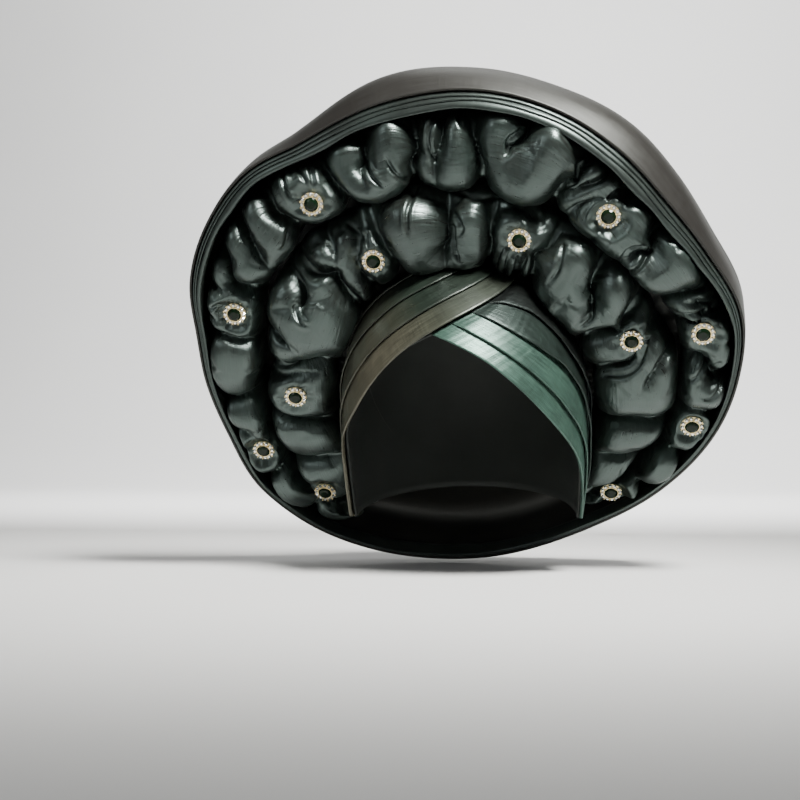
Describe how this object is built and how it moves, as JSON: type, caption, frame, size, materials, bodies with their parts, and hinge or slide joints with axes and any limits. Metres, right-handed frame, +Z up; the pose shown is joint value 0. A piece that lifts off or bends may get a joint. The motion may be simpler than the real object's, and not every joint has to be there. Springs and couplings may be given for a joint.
{
  "type": "pre-tied turban",
  "caption": "Pre-tied satin head wrap: a cap with crossed pleated forehead wraps in a wide bowl-shaped halo filled with rings of puffed cloth and round stone brooches.",
  "frame": {"origin": "inside of the cap's crown, where the wearer's head bears", "axes": "+Z up, the front (face side) towards -Y, +X to the right of someone looking at the front"},
  "size_m": [0.3626, 0.2174, 0.3229],
  "materials": {
    "halo_satin": "smooth shot satin, warm grey side",
    "puff_satin": "shot satin, near black with a teal sheen",
    "wrap_satin": "shot satin with a visible fine weave",
    "cap_cloth": "plain dark cloth",
    "setting_gold": "polished pale gold with small clear stones",
    "stone_green": "dark green cut glass"
  },
  "bodies": {
    "root": {"head_cap": "cap_cloth", "wrap_left": "wrap_satin", "wrap_right": "wrap_satin", "halo_shell": "halo_satin", "rim_fold_outer": "halo_satin", "rim_fold_middle": "halo_satin", "rim_fold_inner": "halo_satin", "puff_roll_outer": "puff_satin", "puff_roll_inner": "puff_satin", "brooch_setting_01": "setting_gold", "brooch_setting_02": "setting_gold", "brooch_setting_03": "setting_gold", "brooch_setting_04": "setting_gold", "brooch_setting_05": "setting_gold", "brooch_setting_06": "setting_gold", "brooch_setting_07": "setting_gold", "brooch_setting_08": "setting_gold", "brooch_setting_09": "setting_gold", "brooch_setting_10": "setting_gold", "brooch_setting_11": "setting_gold", "brooch_setting_12": "setting_gold", "brooch_stone_01": "stone_green", "brooch_stone_02": "stone_green", "brooch_stone_03": "stone_green", "brooch_stone_04": "stone_green", "brooch_stone_05": "stone_green", "brooch_stone_06": "stone_green", "brooch_stone_07": "stone_green", "brooch_stone_08": "stone_green", "brooch_stone_09": "stone_green", "brooch_stone_10": "stone_green", "brooch_stone_11": "stone_green", "brooch_stone_12": "stone_green"}
  },
  "joints": []
}
